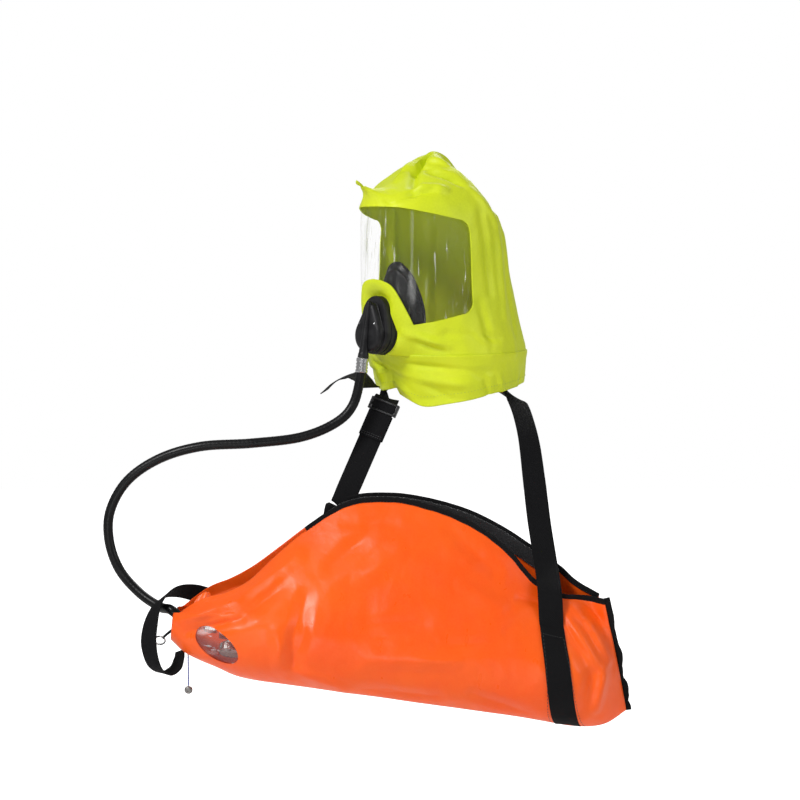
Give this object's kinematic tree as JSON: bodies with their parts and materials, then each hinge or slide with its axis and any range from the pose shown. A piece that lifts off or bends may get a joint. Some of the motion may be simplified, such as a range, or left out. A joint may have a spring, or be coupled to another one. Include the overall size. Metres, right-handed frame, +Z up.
{
  "type": "smoke hood",
  "caption": "Escape smoke hood: fabric hood with wrap-round clear visor, inner mask and demand valve, hose to a gas cylinder in a bag slung from the neck.",
  "frame": {"origin": "centre of the wearer's neck, at the height of the hood's neck seal", "axes": "+Z up, -Y the way the wearer's body faces, +X the wearer's left; the hood is worn turned 45 degrees to the wearer's right"},
  "size_m": [0.6508, 0.3488, 0.7072],
  "materials": {
    "hood_fabric": "coated, fluorescent yellow-green",
    "visor_film": "clear film",
    "seal_rubber": "matt",
    "valve_plastic": "moulded, fine texture",
    "bright_steel": "bright",
    "silicone": "matt",
    "brass": "machined",
    "mask_rubber": "satin",
    "hose_rubber": "satin",
    "bag_fabric": "PVC-coated, orange",
    "binding_tape": "woven tape",
    "window_film": "clear film",
    "cylinder_paint": "grey paint",
    "plated_brass": "nickel plate",
    "cap_plastic": "moulded",
    "dial_white": "printed, blank",
    "gauge_lens": "clear",
    "needle_black": "painted",
    "webbing": "woven",
    "slider_plastic": "moulded",
    "cord_blue": "twisted",
    "lead_seal": "cast lead"
  },
  "bodies": {
    "harness": {"bag_back_panel": "bag_fabric", "bag_front_panel": "bag_fabric", "breathing_hose": "hose_rubber", "cylinder_band_base": "binding_tape", "cylinder_band_neck": "binding_tape", "end_binding": "binding_tape", "ferrule_lower": "bright_steel", "gas_cylinder": "cylinder_paint", "gauge_case": "plated_brass", "gauge_dial": "dial_white", "gauge_lens": "gauge_lens", "gauge_window": "window_film", "grab_handle": "webbing", "handle_ring": "bright_steel", "hose_tail": "brass", "mouth_binding_back": "binding_tape", "mouth_binding_front": "binding_tape", "mouth_fastener": "binding_tape", "neck_strap": "webbing", "relief_plug": "brass", "ring_tab": "webbing", "strap_tail": "webbing", "valve_body": "plated_brass"},
    "hood": {"hood_shell": "hood_fabric", "hood_skirt": "hood_fabric", "visor": "visor_film", "neck_seal": "seal_rubber", "inner_mask": "mask_rubber", "mask_clamp": "valve_plastic", "valve_housing": "valve_plastic", "valve_cover": "valve_plastic", "cover_screw_left": "bright_steel", "cover_screw_right": "bright_steel", "lever_pin": "bright_steel", "inlet_seat": "brass", "exhale_seat": "valve_plastic", "ferrule_upper": "bright_steel"},
    "diaphragm": {"diaphragm": "silicone"},
    "demand_lever": {"demand_lever": "bright_steel"},
    "poppet": {"poppet": "brass"},
    "exhale_disc": {"exhale_disc": "silicone"},
    "needle": {"gauge_needle": "needle_black"},
    "start_pin": {"start_pin": "bright_steel", "pin_ring": "bright_steel"},
    "port_cap": {"port_cap": "cap_plastic"},
    "hose_nut": {"hose_nut": "plated_brass"},
    "strap_slider": {"strap_slider": "slider_plastic", "strap_fold": "webbing"},
    "seal": {"seal_cord": "cord_blue", "lead_seal": "lead_seal"}
  },
  "joints": [
    {"name": "hood_turn", "type": "hinge", "parent": "harness", "child": "hood", "pos_m": [0, 0, 0], "axis": [0, 0, 1], "range_deg": [-15, 15], "deforming": ["breathing_hose"]},
    {"name": "diaphragm_travel", "type": "slide", "parent": "hood", "child": "diaphragm", "axis": [0.7018, 0.7018, -0.1219], "range_m": [0, 0.003], "stiffness_N_per_m": 100, "springref_m": -0.002},
    {"name": "demand_lever_tilt", "type": "hinge", "parent": "hood", "child": "demand_lever", "pos_m": [-0.08144, -0.08144, 0.08074], "axis": [0.7071, -0.7071, 0], "range_deg": [0, 9]},
    {"name": "poppet_lift", "type": "slide", "parent": "hood", "child": "poppet", "axis": [-0.0862, -0.0862, -0.9925], "range_m": [0, 0.0009]},
    {"name": "exhale_disc_lift", "type": "slide", "parent": "hood", "child": "exhale_disc", "axis": [-0.7018, -0.7018, 0.1219], "range_m": [0, 0.002], "stiffness_N_per_m": 50, "springref_m": -0.001},
    {"name": "gauge_needle_turn", "type": "hinge", "parent": "harness", "child": "needle", "pos_m": [-0.25711, -0.1918, -0.31551], "axis": [-0.1113, -0.6, -0.7922], "range_deg": [-270, 0]},
    {"name": "start_pin_pull", "type": "slide", "parent": "harness", "child": "start_pin", "axis": [0.1392, 0, 0.9903], "range_m": [0, 0.0145]},
    {"name": "port_cap_lift", "type": "slide", "parent": "harness", "child": "port_cap", "axis": [0.1392, 0, 0.9903], "range_m": [0, 0.009]},
    {"name": "hose_nut_turn", "type": "hinge", "parent": "harness", "child": "hose_nut", "pos_m": [-0.28172, -0.175, -0.28943], "axis": [0.9903, 0, -0.1392], "continuous": true},
    {"name": "strap_slider_slide", "type": "slide", "parent": "harness", "child": "strap_slider", "axis": [-0.3948, -0.2007, -0.8966], "range_m": [0, 0.05]},
    {"name": "seal_swing", "type": "hinge", "parent": "harness", "child": "seal", "pos_m": [-0.31, -0.178, -0.3285], "axis": [0, 1, 0], "range_deg": [-35, 5]}
  ],
  "couplings": [
    {"joint": "demand_lever_tilt", "follows": "diaphragm_travel", "rad_per_m": 48},
    {"joint": "poppet_lift", "follows": "diaphragm_travel", "ratio": 0.27}
  ]
}
